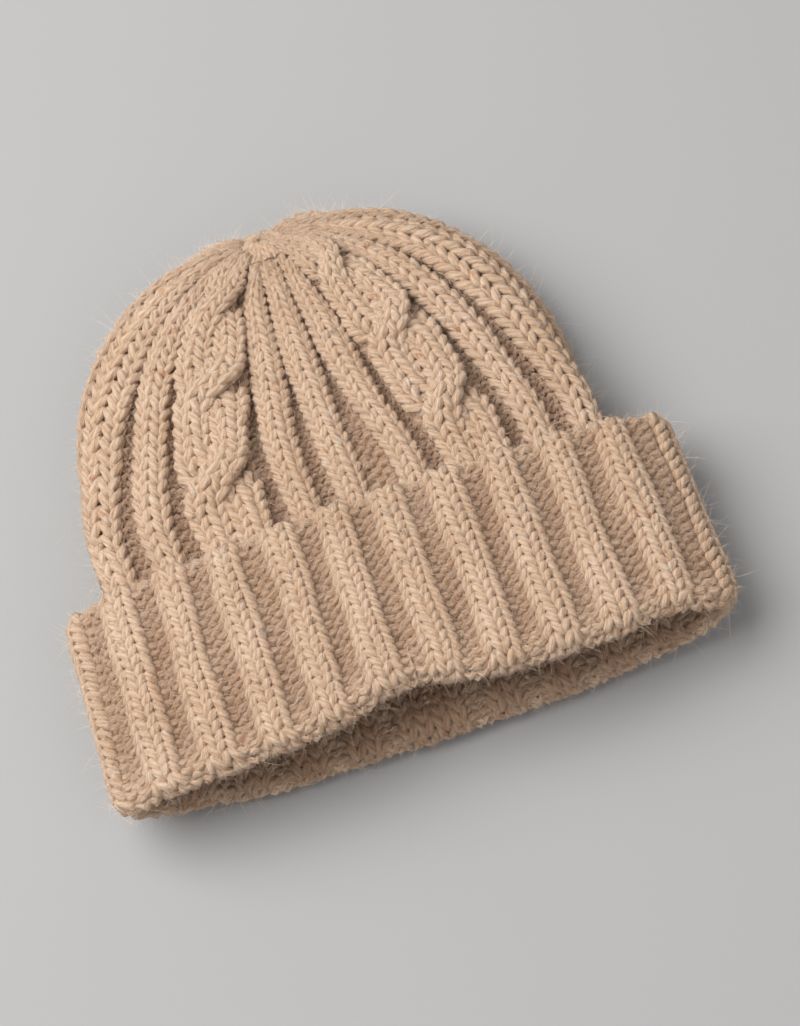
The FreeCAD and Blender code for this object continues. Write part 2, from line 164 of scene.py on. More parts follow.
def oval(angle):
    """Point at an angle on the unit superellipse of the hat's outlines."""
    across = np.cos(angle)
    upward = np.sin(angle)
    power = OVAL_POWER
    reach = (np.abs(across) ** power + np.abs(upward) ** power) ** (-1.0 / power)
    return across * reach, upward * reach


class Shape:
    """The hat's outlines in millimetres, from its sizes."""

    def __init__(self, sizes):
        for key in sizes.__annotations__:
            value = getattr(sizes, key)
            is_length = key not in ("gather_tilt", "crown_rows", "cuff_rows", "band_rows", "halo")
            setattr(self, key, value / MM if is_length else value)
        self.y_fold = CAD_BOX[0][1] / MM
        self.y_edge = self.y_fold + self.cuff_height
        self.y_shoulder = self.y_edge + self.shoulder
        self.y_end = CAD_BOX[1][1] / MM - 0.5
        self.dome = self.y_end - self.y_shoulder - self.crown_wall

    def ring(self, angle, half_width, low, high):
        """Point (x, z) of a lying ring, flattened where it rests."""
        centre = (low - self.press + high) / 2.0
        across, upward = oval(angle)
        return across * half_width, np.maximum(centre + upward * (high - centre), low)

    def profile(self, y):
        """Half width, lowest and highest z of the tube's inner face."""
        room = self.wall + self.gap + self.band
        band_half = self.cuff_width / 2.0 - room
        neck_half = band_half + self.band - self.neck_draw_in - self.crown_wall
        crown_half = self.crown_width / 2.0 - self.crown_wall
        drawn_in = ease((y - self.y_fold) / self.cuff_height * 2.0 - 1.0)
        widened = ease((y - self.y_edge) / self.shoulder)
        half_width = blend(blend(band_half, neck_half, drawn_in), crown_half, widened)
        settled = ease((y - self.y_edge) / self.crown_rise)
        low = blend(room, self.crown_wall, settled)
        high = blend(self.lay_height - room, self.crown_height - self.crown_wall, settled)
        return half_width, low, high

    def tube(self, angle, y):
        """Inner face of band and crown up to the shoulder."""
        half_width, low, high = self.profile(y)
        x, z = self.ring(angle, half_width, low, high)
        return np.stack([x, y + 0.0 * x, z], -1)

    def dome_point(self, angle, share):
        """The dome: each wale follows a great circle from the shoulder to the gather."""
        pole_y = math.cos(self.gather_tilt)
        pole_z = math.sin(self.gather_tilt)
        turn = np.arccos(np.clip(np.sin(angle) * pole_z, -1.0, 1.0))
        first = np.sin((1.0 - share) * turn) / np.sin(turn)
        last = np.sin(share * turn) / np.sin(turn)
        heading = np.stack(
            [np.cos(angle) * first, pole_y * last, np.sin(angle) * first + pole_z * last], -1
        )
        reach = (np.abs(heading) ** OVAL_POWER).sum(-1) ** (-1.0 / OVAL_POWER)
        y = self.y_shoulder + heading[..., 1] * reach * self.dome
        half_width, low, high = self.profile(y)
        centre = (low - self.press + high) / 2.0
        z = centre + heading[..., 2] * reach * (high - centre)
        return np.stack([heading[..., 0] * reach * half_width, y, np.maximum(z, low)], -1)

    def cuff(self, angle, y):
        """Inner face of the turned-up cuff."""
        along = (y - self.y_fold) / self.cuff_height
        half_width = self.cuff_width / 2.0 - self.wall - self.cuff_taper * along
        x, z = self.ring(angle, half_width, self.wall, self.lay_height - self.wall)
        return np.stack([x, y + 0.0 * x, z], -1)


ANGLES = math.pi / 2 - np.linspace(0.0, 2.0 * math.pi, ANGLE_STEPS + 1)


def travelled(points):
    """Distance travelled along the second axis of a table of points."""
    steps = np.linalg.norm(np.diff(points, axis=1), axis=-1)
    return np.concatenate([np.zeros((len(points), 1)), np.cumsum(steps, axis=1)], 1)


def resample(points, goals):
    """Each wale's points at the goal distances (one row of goals per wale)."""
    lengths = travelled(points)
    result = np.empty(goals.shape + (3,))
    for wale in range(len(points)):
        for axis in range(3):
            result[wale, :, axis] = np.interp(goals[wale], lengths[wale], points[wale, :, axis])
    return result


def round_gradient(table):
    """Change of a closed table of points from wale to wale."""
    ahead = np.roll(table[:-1], -1, axis=0)
    behind = np.roll(table[:-1], 1, axis=0)
    change = ahead - behind
    return np.concatenate([change, change[:1]], 0)


def normals_of(points, side):
    """Unit normals of a closed table of points; side chooses the face."""
    normal = np.cross(round_gradient(points), np.gradient(points, axis=1)) * side
    return normal / np.maximum(np.linalg.norm(normal, axis=-1, keepdims=True), 1e-9)


def boundary_places(ring_points, widths, front, back):
    """Place in the angle table of every stitch boundary, for stitch widths (stitch, row)."""
    arc = travelled(ring_points[None])[0]
    quarters = np.cumsum([0, len(front), len(back), len(back), len(front)])
    places = np.empty((len(widths) + 1, widths.shape[1]))
    for number, (first, last) in enumerate(zip(quarters, quarters[1:])):
        start = arc[ANGLE_STEPS * number // 4]
        stop = arc[ANGLE_STEPS * (number + 1) // 4]
        share = np.cumsum(widths[first:last], axis=0) / widths[first:last].sum(0)
        share = np.concatenate([np.zeros((1, widths.shape[1])), share], 0)
        goals = start + (stop - start) * share
        places[first : last + 1] = np.interp(goals, arc, np.arange(ANGLE_STEPS + 1))
    return places


def kinds_of(front, back):
    """Stitches of the whole round, clockwise from the front's middle."""
    return front + back + (front + back)[::-1]


class Fabric:
    """A knitted tube: where each stitch lies, how it is raised, and which way it faces."""

    def __init__(self, kinds, points, side, places, relief, yarn, seed):
        self.kinds = kinds
        self.round = len(kinds)
        self.points = points
        self.normals = normals_of(points, side)
        self.places = places
        self.yarn = yarn
        self.rows = (points.shape[1] - 1) / ROW_STEPS
        steps = 20
        level = np.repeat([relief[kind] for kind in kinds], steps)
        face = np.repeat([-1.0 if kind == "P" else 1.0 for kind in kinds], steps)
        self.level = self.smoothed(level, steps * 0.30)
        self.face = self.smoothed(face, steps * 0.13)
        self.steps = steps
        self.fades = np.zeros(self.round)
        self.count = int(self.rows)
        self.flat_rows = ()
        self.edge_level = 0.0
        # Row from which the fabric is seen from its inner face and the painted shade is turned round;
        # the lowest and highest lift below scale that painted shade.
        self.inside_from = math.inf
        self.deepest = min(relief.values()) - 1.9
        self.highest = relief["K"] + 1.4
        rng = np.random.default_rng(seed)
        self.waves = [
            (rng.uniform(1, 7), rng.uniform(0.1, 0.7), rng.uniform(0, 6.3)) for _ in range(8)
        ]

    @staticmethod
    def smoothed(values, sigma):
        """A closed row of values, blurred."""
        reach = np.arange(-int(4 * sigma), int(4 * sigma) + 1)
        kernel = np.exp(-0.5 * (reach / sigma) ** 2)
        kernel /= kernel.sum()
        padded = np.concatenate([values[-len(reach) :], values, values[: len(reach)]])
        return np.convolve(padded, kernel, "same")[len(reach) : -len(reach)]

    def profile(self, table, across):
        """A value of the round's profile at a place counted in stitches."""
        place = (across % self.round) * self.steps - 0.5
        low = np.floor(place).astype(int)
        share = place - low
        return table[low % len(table)] * (1 - share) + table[(low + 1) % len(table)] * share

    def wander(self, across, row, shift=0.0):
        """Slow, small irregularity of hand-worked fabric, about -1 to 1."""
        total = 0.0
        for around, along, phase in self.waves:
            turn = 2.0 * math.pi * round(around) * across / self.round
            total = total + np.sin(turn * 3.0 + along * row + phase + shift)
        return total / 4.0

    def relief_at(self, row):
        """How strongly ribs and gutters stand apart at a row: less towards flattened rows."""
        relief = 1.0
        for middle, before, after, least in self.flat_rows:
            reach = np.where(row < middle, before, after)
            relief = relief * blend(least, 1.0, ease(np.abs(row - middle) / reach))
        return relief

    def place(self, across, row, lift):
        """Point of the fabric at a place in stitches and rows, raised by lift."""
        row_place = np.clip(row * ROW_STEPS, 0, self.points.shape[1] - 1.001)
        low_row = np.floor(row_place).astype(int)
        row_share = (row_place - low_row)[..., None]
        across = across % self.round
        stitch = np.floor(across).astype(int)
        share = across - stitch
        places = blend(self.places[stitch, low_row], self.places[stitch + 1, low_row], share)
        low = np.floor(places).astype(int) % ANGLE_STEPS
        angle_share = (places - np.floor(places))[..., None]

        def look(table):
            near = blend(table[low, low_row], table[low + 1, low_row], angle_share)
            far = blend(table[low, low_row + 1], table[low + 1, low_row + 1], angle_share)
            return blend(near, far, row_share)

        normal = look(self.normals)
        point = look(self.points) + normal * lift[..., None]
        return point, normal

    def width(self, stitch, row):
        """Width of a stitch at a row."""
        zero = np.zeros(1)
        left = self.place(np.array([stitch + 0.01]), np.array([row]), zero)[0]
        right = self.place(np.array([stitch + 0.99]), np.array([row]), zero)[0]
        return float(np.linalg.norm(right - left))


# ---------------------------------------------------------------------------------------------
# Stitches: each row of loops is one strand of yarn
# ---------------------------------------------------------------------------------------------

# How far a loop bulges sideways, in stitches, and how far it reaches up, in rows.
LOOP_BULGE = 0.30
LOOP_REACH = 1.72
# How far yarn swings in front of and behind the fabric, in yarn diameters, by stitch.
KNIT_SWING = 0.48
PURL_SWING = 0.62
FLOOR_CLEARANCE = 0.25
# Rows over which a cable's strands change sides, and the rows at whose middle they do.
CROSSING_SPAN = 6.8
CROSSINGS = (7.4, 15.6, 23.6)
CABLE_LEVEL = 3.7
UNDER_LEVEL = 0.6


def unit(vectors):
    """Vectors brought to length one."""
    return vectors / np.maximum(np.linalg.norm(vectors, axis=-1, keepdims=True), 1e-9)


def settle(points, radii):
    """Keeps a strand above the floor, with a soft limit where it rests."""
    floor = radii + FLOOR_CLEARANCE
    height = points[:, 2] - floor
    points[:, 2] = floor + np.where(height > 1.0, height, np.exp(np.minimum(height - 1.0, 0.0)))
    return points


def stitch_row(fabric, columns, row, rng, route=None):
    """One strand through the given stitches of a row; route maps a column to its cable place."""
    tau = np.linspace(0.0, 1.0, SAMPLES, endpoint=False)
    points = []
    radii = []
    normals = []
    shade_depths = []
    for count, column in enumerate(columns):
        share = np.append(tau, 1.0) if count == len(columns) - 1 else tau
        reach = LOOP_REACH * rng.uniform(0.93, 1.07)
        along = row + reach * (1.0 - np.cos(2.0 * math.pi * share)) / 2.0
        along = along + rng.uniform(-0.06, 0.06) * np.sin(math.pi * share)
        across = share + LOOP_BULGE * np.sin(4.0 * math.pi * share)
        across = across + rng.uniform(-0.06, 0.06) * np.sin(math.pi * share)
        face = fabric.profile(fabric.face, column + share)
        wave = -np.cos(4.0 * math.pi * share)
        if route is None:
            place = column + across
            lift = fabric.profile(fabric.level, place)
        else:
            place, lift = route(column, across, along)
        place = place + 0.10 * fabric.wander(place, along)
        lift = fabric.edge_level + (lift - fabric.edge_level) * fabric.relief_at(along)
        lift = lift + 0.35 * fabric.wander(place, along, 2.0)
        width = fabric.width(column, min(row + 0.5, fabric.rows - 0.1))
        nominal = fabric.yarn * (1.35 if fabric.kinds[column] == "P" else 1.85)
        crowding = min(max(width / nominal, 0.4), 1.05) ** 0.7
        radius = fabric.yarn / 2.0 * crowding * rng.uniform(0.94, 1.05)
        swing = np.where(face < 0.0, PURL_SWING, KNIT_SWING) * fabric.yarn * crowding
        lift = lift + face * wave * (swing + rng.uniform(-0.15, 0.15))
        # Painted shade: yarn low in the fabric gets a small value, which the wool's colour darkens; past
        # inside_from the fabric is seen from its inner face, so the painted shade is turned round there.
        depth = (lift - fabric.deepest) / (fabric.highest - fabric.deepest)
        shade_depths.append(np.where(along > fabric.inside_from, 1.3 - depth, depth))
        point, normal = fabric.place(place, along, lift)
        points.append(point)
        normals.append(normal)
        radii.append(radius * (1.0 + 0.10 * wave * np.abs(face)))
    points = np.concatenate(points)
    radii = np.concatenate(radii)
    return settle(points, radii), radii, np.concatenate(normals), np.concatenate(shade_depths)


def cable_place(first):
    """Where the four stitches of a cable lie as its two strands cross over each other."""

    def place(column, across, along):
        crossed = sum(ease((along - middle) / CROSSING_SPAN + 0.5) for middle in CROSSINGS)
        swing = np.cos(math.pi * crossed)
        strand = -1.0 if column - first < 2 else 1.0
        over = -strand * np.sin(math.pi * crossed)
        within = (column - first) % 2 - 1.0 + across
        spread = 1.0 + np.where(over < 0.0, -0.75 * over, 0.2 * over)
        spot = 2.0 + strand * swing + within * spread
        round_top = 1.0 - np.clip(np.abs(within) / 1.2, 0.0, 1.0) ** 2
        lift = CABLE_LEVEL + 2.7 * round_top + np.where(over < 0.0, 2.0, 3.3) * over
        return first + np.clip(spot, -0.2, 4.2), lift

    def order(row):
        crossed = sum(float(ease((row + 0.8 - middle) / CROSSING_SPAN + 0.5)) for middle in CROSSINGS)
        left = [first, first + 1]
        right = [first + 2, first + 3]
        return left + right if math.cos(math.pi * crossed) > 0.0 else right + left

    return place, order


def lay_under(column, across, along):
    """Place of the yarn that closes a cable behind its strands."""
    return column + across, UNDER_LEVEL + 0.0 * along


def make_strand_mesh(name, strands, resolution):
    """Mesh of round strands given as (points, radii) with, if wished, the depth at each point.

    The UV map holds the turn round a strand and the metres along it; the map named Depth holds
    0 for yarn deep in the fabric and 1 for yarn on top, and the wool's colour paints shade on the deep
    yarn from it.
    """
    curve = bpy.data.curves.new(name, "CURVE")
    curve.dimensions = "3D"
    curve.bevel_depth = MM
    curve.bevel_resolution = resolution
    curve.use_fill_caps = True
    for points, radii, *_ in strands:
        spline = curve.splines.new("POLY")
        spline.points.add(len(points) - 1)
        spline.points.foreach_set("co", np.c_[points * MM, np.ones(len(points))].ravel())
        spline.points.foreach_set("radius", radii)
    holder = bpy.data.objects.new(name + "_curve", curve)
    bpy.context.scene.collection.objects.link(holder)
    depsgraph = bpy.context.evaluated_depsgraph_get()
    mesh = bpy.data.meshes.new_from_object(holder.evaluated_get(depsgraph))
    mesh.name = name
    bpy.data.objects.remove(holder)
    bpy.data.curves.remove(curve)
    sides = 4 + 2 * resolution
    corners = np.empty(len(mesh.polygons), int)
    mesh.polygons.foreach_get("loop_total", corners)
    starts = np.empty(len(mesh.polygons), int)
    mesh.polygons.foreach_get("loop_start", starts)
    walls = starts[corners == 4]
    lengths = np.concatenate(
        [
            np.full((len(p) - 1) * sides, np.linalg.norm(np.diff(p, axis=0), axis=1).sum() * MM)
            for p, *_ in strands
        ]
    )
    offsets = np.concatenate(
        [np.full((len(p) - 1) * sides, (i * 0.6180339) % 1.0) for i, (p, *_) in enumerate(strands)]
    )
    uv = np.empty(len(mesh.loops) * 2)
    layer = mesh.uv_layers[0].data
    layer.foreach_get("uv", uv)
    uv = uv.reshape(-1, 2)
    if len(walls) != len(lengths):
        raise RuntimeError("%s: %d wall faces, not %d" % (name, len(walls), len(lengths)))
    loops = (walls[:, None] + np.arange(4)).ravel()
    counts = np.array([len(p) for p, *_ in strands])
    firsts = np.cumsum(counts) - counts
    which = np.repeat(np.repeat(np.arange(len(strands)), (counts - 1) * sides), 4)
    spot = firsts[which] + np.rint(uv[loops, 0] * (counts[which] - 1)).astype(int)
    shade_depths = np.concatenate([s[3] if len(s) > 3 else np.ones(len(s[0])) for s in strands])
    depth_uv = np.full((len(mesh.loops), 2), 0.5)
    depth_uv[loops, 0] = np.clip(shade_depths[spot], 0.0, 1.0)
    mesh.uv_layers.new(name="Depth").data.foreach_set("uv", depth_uv.ravel())
    layer = mesh.uv_layers["UVMap"].data
    along = uv[loops, 0] * np.repeat(lengths, 4) + np.repeat(offsets, 4)
    uv[loops] = np.stack([uv[loops, 1], along], 1)
    layer.foreach_set("uv", uv.ravel())
    mesh.polygons.foreach_set("use_smooth", np.ones(len(mesh.polygons), bool))
    return mesh


def add_piece(name, mesh, material, nodes):
    """Object for a finished mesh, on the hat's body, standing for its CAD nodes."""
    piece = bpy.data.objects.new(name, mesh)
    bpy.context.scene.collection.objects.link(piece)
    mesh.materials.clear()
    mesh.materials.append(material)
    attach(piece, "root")
    if nodes:
        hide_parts(*nodes)
    return piece


# ---------------------------------------------------------------------------------------------
# Loose fibres
# ---------------------------------------------------------------------------------------------

HALO_ROOTS = {}
# How far loose fibres may pass the hat's box, and how low they may hang, in millimetres.
HALO_LIMIT = 9.5
HALO_LOWEST = 0.12


def remember_roots(group, strands):
    """Keeps the strands of a group of pieces, for its loose fibres."""
    HALO_ROOTS.setdefault(group, []).extend(strands)


def make_fibre_mesh(name, strands, count, mean_length, rng):
    """Mesh of thin bent fibres that stand out of strands (points, radii, normals, depths)."""
    points, radii, normals, shade_depths = (
        np.concatenate([strand[part][1:-1] for strand in strands]) for part in range(4)
    )
    ahead = np.concatenate([strand[0][2:] - strand[0][:-2] for strand in strands])
    picks = rng.integers(0, len(points), count)
    ahead = unit(ahead[picks])
    out = rng.normal(size=(count, 3)) + normals[picks] * 1.2
    out = unit(out - ahead * (out * ahead).sum(1, keepdims=True))
    heading = unit(out * rng.uniform(0.25, 1.2, (count, 1)) + ahead * rng.uniform(-1.3, 1.3, (count, 1)))
    bend = rng.normal(size=(count, 3)) * 1.15
    sizes = mean_length * np.clip(rng.exponential(0.6, count) + 0.35, 0.35, 2.3)[:, None]
    roots = points[picks] + out * radii[picks][:, None] * 0.9
    thick = rng.uniform(0.032, 0.058, count)
    low = np.array(CAD_BOX[0]) / MM - HALO_LIMIT
    high = np.array(CAD_BOX[1]) / MM + HALO_LIMIT
    low[2] = HALO_LOWEST
    corners = []
    faces = []
    painted_shades = []
    start = 0
    long = sizes[:, 0] > mean_length
    for chosen, steps in ((long, 3), (~long, 2)):
        share = np.arange(steps + 1)[None, :, None] / steps
        path = roots[:, None] + sizes[:, None] * share * (heading[:, None] + bend[:, None] * share)
        chosen = chosen & ((path > low) & (path < high)).all((1, 2))
        path = path[chosen]
        along = unit(np.gradient(path, axis=1))
        side = unit(np.cross(along, bend[chosen][:, None]))
        up = np.cross(along, side)
        radius = thick[chosen][:, None, None] * (1.0 - 0.5 * share)
        rings = [
            path + radius * (math.cos(turn) * side + math.sin(turn) * up)
            for turn in (0.0, 2.0 * math.pi / 3.0, 4.0 * math.pi / 3.0)
        ]
        rings = np.stack(rings, 2)[:, :-1].reshape(len(path), -1, 3)
        own = np.concatenate([rings, path[:, -1:]], 1)
        size = own.shape[1]
        pattern = [(0, 2, 1)]
        for ring in range(steps):
            for corner in range(3):
                first = 3 * ring + corner
                second = 3 * ring + (corner + 1) % 3
                if ring == steps - 1:
                    pattern.append((first, second, size - 1))
                else:
                    pattern.append((first, second, second + 3, first + 3))
        for number, line in enumerate(own):
            base = start + number * size
            faces.extend([tuple(base + spot for spot in face) for face in pattern])
        corners.append(own.reshape(-1, 3))
        painted_shades.append(np.repeat(shade_depths[picks][chosen], size))
        start += own.shape[0] * size
    corners = np.concatenate(corners) * MM
    # Painted shade: each loose fibre takes the painted shade of the yarn it stands out of, a little
    # lighter.
    painted_shades = np.clip(np.concatenate(painted_shades) + 0.15, 0.0, 1.0)
    mesh = bpy.data.meshes.new(name)
    mesh.from_pydata(corners.tolist(), [], faces)
    spots = np.empty(len(mesh.loops), int)
    mesh.loops.foreach_get("vertex_index", spots)
    depth_uv = np.full((len(spots), 2), 0.5)
    depth_uv[:, 0] = painted_shades[spots]
    mesh.uv_layers.new(name="UVMap").data.foreach_set("uv", (depth_uv * 0.01).ravel())
    mesh.uv_layers.new(name="Depth").data.foreach_set("uv", depth_uv.ravel())
    return mesh


# ---------------------------------------------------------------------------------------------
# Materials
# ---------------------------------------------------------------------------------------------


def link(tree, output, target):
    tree.links.new(output, target)


def math_node(tree, operation, first, second=None):
    """A math node; its inputs are numbers or sockets."""
    node = tree.nodes.new("ShaderNodeMath")
    node.operation = operation
    for place, value in enumerate((first, second)):
        if value is None:
            continue
        if isinstance(value, (int, float)):
            node.inputs[place].default_value = value
        else:
            link(tree, value, node.inputs[place])
    return node.outputs[0]


def mix_colour(tree, share, first, second, mode="MIX"):
    """A colour mix node; its inputs are numbers, colours or sockets."""
    node = tree.nodes.new("ShaderNodeMix")
    node.data_type = "RGBA"
    node.blend_type = mode
    for socket, value in ((node.inputs[0], share), (node.inputs[6], first), (node.inputs[7], second)):
        if isinstance(value, (int, float)):
            socket.default_value = value
        elif isinstance(value, (tuple, list)):
            socket.default_value = (*value, 1.0)
        else:
            link(tree, value, socket)
    return node.outputs[2]


def noise(tree, vector, scale, detail=2.0, roughness=0.5):
    node = tree.nodes.new("ShaderNodeTexNoise")
    node.inputs["Scale"].default_value = scale
    node.inputs["Detail"].default_value = detail
    node.inputs["Roughness"].default_value = roughness
    link(tree, vector, node.inputs["Vector"])
    return node.outputs["Fac"]


def ramp(tree, value, low, high):
    """Value rescaled so that low becomes 0 and high becomes 1, clamped."""
    node = tree.nodes.new("ShaderNodeMapRange")
    node.inputs["From Min"].default_value = low
    node.inputs["From Max"].default_value = high
    link(tree, value, node.inputs["Value"])
    return node.outputs["Result"]


def wool_group():
    """Shared look of spun wool: colour of its fibres and flecks, height of its plies, and painted shade
    on yarn deep in the fabric and in the ply grooves.
    """
    if "spun_wool" in bpy.data.node_groups:
        return bpy.data.node_groups["spun_wool"]
    group = bpy.data.node_groups.new("spun_wool", "ShaderNodeTree")
    face = group.interface
    for name, kind, default in (
        ("Wool", "NodeSocketColor", (0.6, 0.45, 0.3, 1.0)),
        ("Shade", "NodeSocketColor", (0.4, 0.28, 0.18, 1.0)),
        ("Flecks", "NodeSocketFloat", 1.0),
        ("Turns per metre", "NodeSocketFloat", 70.0),
    ):
        socket = face.new_socket(name, in_out="INPUT", socket_type=kind)
        socket.default_value = default
    face.new_socket("Colour", in_out="OUTPUT", socket_type="NodeSocketColor")
    face.new_socket("Height", in_out="OUTPUT", socket_type="NodeSocketFloat")
    face.new_socket("Roughness", in_out="OUTPUT", socket_type="NodeSocketFloat")
    entry = group.nodes.new("NodeGroupInput")
    leave = group.nodes.new("NodeGroupOutput")
    place = group.nodes.new("ShaderNodeTexCoord").outputs["Object"]
    uv = group.nodes.new("ShaderNodeUVMap")
    uv.uv_map = "UVMap"
    split = group.nodes.new("ShaderNodeSeparateXYZ")
    link(group, uv.outputs[0], split.inputs[0])
    twist = math_node(group, "MULTIPLY", split.outputs["Y"], entry.outputs["Turns per metre"])
    turn = math_node(group, "ADD", split.outputs["X"], twist)
    turn = math_node(group, "MULTIPLY", turn, 2.0 * math.pi)
    plies = math_node(group, "COSINE", math_node(group, "MULTIPLY", turn, 4.0))
    helix = group.nodes.new("ShaderNodeCombineXYZ")
    link(group, math_node(group, "COSINE", turn), helix.inputs[0])
    link(group, math_node(group, "SINE", turn), helix.inputs[1])
    link(group, math_node(group, "MULTIPLY", split.outputs["Y"], 70.0), helix.inputs[2])
    fibres = noise(group, helix.outputs[0], 3.0, 5.0, 0.68)
    height = math_node(group, "ADD", math_node(group, "MULTIPLY", plies, 0.17), fibres)
    fuzz = noise(group, place, 1500.0, 3.0, 0.6)
    height = math_node(group, "ADD", height, math_node(group, "MULTIPLY", fuzz, 0.9))
    link(group, height, leave.inputs["Height"])
    blotch = noise(group, place, 38.0, 3.0, 0.6)
    # Darker towards the Shade colour at random blotches and fibres, the wool's own tone, and in the ply
    # grooves, which is painted shade.
    share = math_node(group, "ADD", ramp(group, blotch, 0.3, 0.75), ramp(group, fibres, 0.62, 0.38))
    share = math_node(group, "ADD", share, ramp(group, plies, 0.1, -1.0))
    share = math_node(group, "MULTIPLY", share, 0.46)
    colour = mix_colour(group, share, entry.outputs["Wool"], entry.outputs["Shade"])
    strands = noise(group, helix.outputs[0], 7.0, 4.0, 0.75)
    pale = math_node(group, "MULTIPLY", ramp(group, strands, 0.50, 0.66), 0.55)
    colour = mix_colour(group, pale, colour, (1.0, 0.86, 0.70))
    dusk = math_node(group, "MULTIPLY", ramp(group, strands, 0.50, 0.34), 0.55)
    colour = mix_colour(group, dusk, colour, (0.40, 0.22, 0.12))
    for scale, least, tint, strength in (
        (230.0, 0.960, (0.45, 0.14, 0.035), 0.80),
        (260.0, 0.965, (0.06, 0.03, 0.015), 0.75),
        (240.0, 0.950, (0.95, 0.88, 0.76), 0.60),
        (190.0, 0.975, (0.30, 0.27, 0.30), 0.45),
    ):
        cells = group.nodes.new("ShaderNodeTexVoronoi")
        cells.inputs["Scale"].default_value = scale
        warped = group.nodes.new("ShaderNodeVectorMath")
        warped.operation = "ADD"
        link(group, place, warped.inputs[0])
        warped.inputs[1].default_value = (scale * 0.013, scale * 0.021, scale * 0.017)
        link(group, warped.outputs[0], cells.inputs["Vector"])
        pick = group.nodes.new("ShaderNodeSeparateColor")
        link(group, cells.outputs["Color"], pick.inputs[0])
        chosen = ramp(group, pick.outputs[0], least, least + 0.01)
        near = ramp(group, cells.outputs["Distance"], 0.5, 0.2)
        torn = ramp(group, fuzz, 0.42, 0.58)
        mask = math_node(group, "MULTIPLY", math_node(group, "MULTIPLY", chosen, near), torn)
        mask = math_node(group, "MULTIPLY", mask, entry.outputs["Flecks"])
        colour = mix_colour(group, math_node(group, "MULTIPLY", mask, strength), colour, tint)
    # Painted shade: yarn low in the Depth map, deep in the fabric, is multiplied towards dark brown;
    # yarn on top keeps its colour.
    depth = group.nodes.new("ShaderNodeUVMap")
    depth.uv_map = "Depth"
    buried = group.nodes.new("ShaderNodeSeparateXYZ")
    link(group, depth.outputs[0], buried.inputs[0])
    lit = math_node(group, "POWER", ramp(group, buried.outputs["X"], 0.06, 0.92), 0.85)
    shaded = mix_colour(group, 1.0, colour, (0.33, 0.195, 0.115), "MULTIPLY")
    colour = mix_colour(group, lit, shaded, colour)
    link(group, colour, leave.inputs["Colour"])
    rough = math_node(group, "MULTIPLY_ADD", fibres, 0.12)
    rough.node.inputs[2].default_value = 0.84
    link(group, rough, leave.inputs["Roughness"])
    return group


def wool_material(name, wool, shade, flecks=1.0, turns=45.0, bump=1.0, sheen=0.45):
    """Spun wool with its own colours, twist and sheen."""
    if name in bpy.data.materials:
        return bpy.data.materials[name]
    material = bpy.data.materials.new(name)
    material.use_nodes = True
    tree = material.node_tree
    surface = tree.nodes["Principled BSDF"]
    look = tree.nodes.new("ShaderNodeGroup")
    look.node_tree = wool_group()
    look.inputs["Wool"].default_value = (*wool, 1.0)
    look.inputs["Shade"].default_value = (*shade, 1.0)
    look.inputs["Flecks"].default_value = flecks
    look.inputs["Turns per metre"].default_value = turns
    link(tree, look.outputs["Colour"], surface.inputs["Base Color"])
    link(tree, look.outputs["Roughness"], surface.inputs["Roughness"])
    relief = tree.nodes.new("ShaderNodeBump")
    relief.inputs["Strength"].default_value = bump
    relief.inputs["Distance"].default_value = 0.0009
    link(tree, look.outputs["Height"], relief.inputs["Height"])
    link(tree, relief.outputs[0], surface.inputs["Normal"])
    surface.inputs["Specular IOR Level"].default_value = 0.18
    surface.inputs["Sheen Weight"].default_value = sheen
    surface.inputs["Sheen Roughness"].default_value = 0.45
    surface.inputs["Sheen Tint"].default_value = (0.95, 0.85, 0.74, 1.0)
    return material


def knit_material():
    colours = bpy.context.scene.beanie_colours
    return wool_material("camel_wool", tuple(colours.wool), tuple(colours.shade))


def fibre_material():
    colours = bpy.context.scene.beanie_colours
    pale = tuple(value ** 0.55 for value in colours.wool)
    return wool_material("loose_fibres", pale, tuple(colours.wool), 0.6, 70.0, 0.0, 0.6)


# ---------------------------------------------------------------------------------------------
# Fabrics
# ---------------------------------------------------------------------------------------------

FABRICS = {}
CROWN_KINDS = kinds_of(CROWN_FRONT, CROWN_BACK)
CUFF_KINDS = kinds_of(CUFF_FRONT, CUFF_BACK)


def crown_fades(kinds):
    """Rows before the gather at which each stitch is worked together with its neighbour."""
    fades = np.zeros(len(kinds))
    for first, kind in enumerate(kinds):
        if kind == "P":
            fades[first] = 9.0
        elif kind == "K" and kinds[first - 1] == "K" and 0 < first:
            fades[first] = 2.6
    return fades


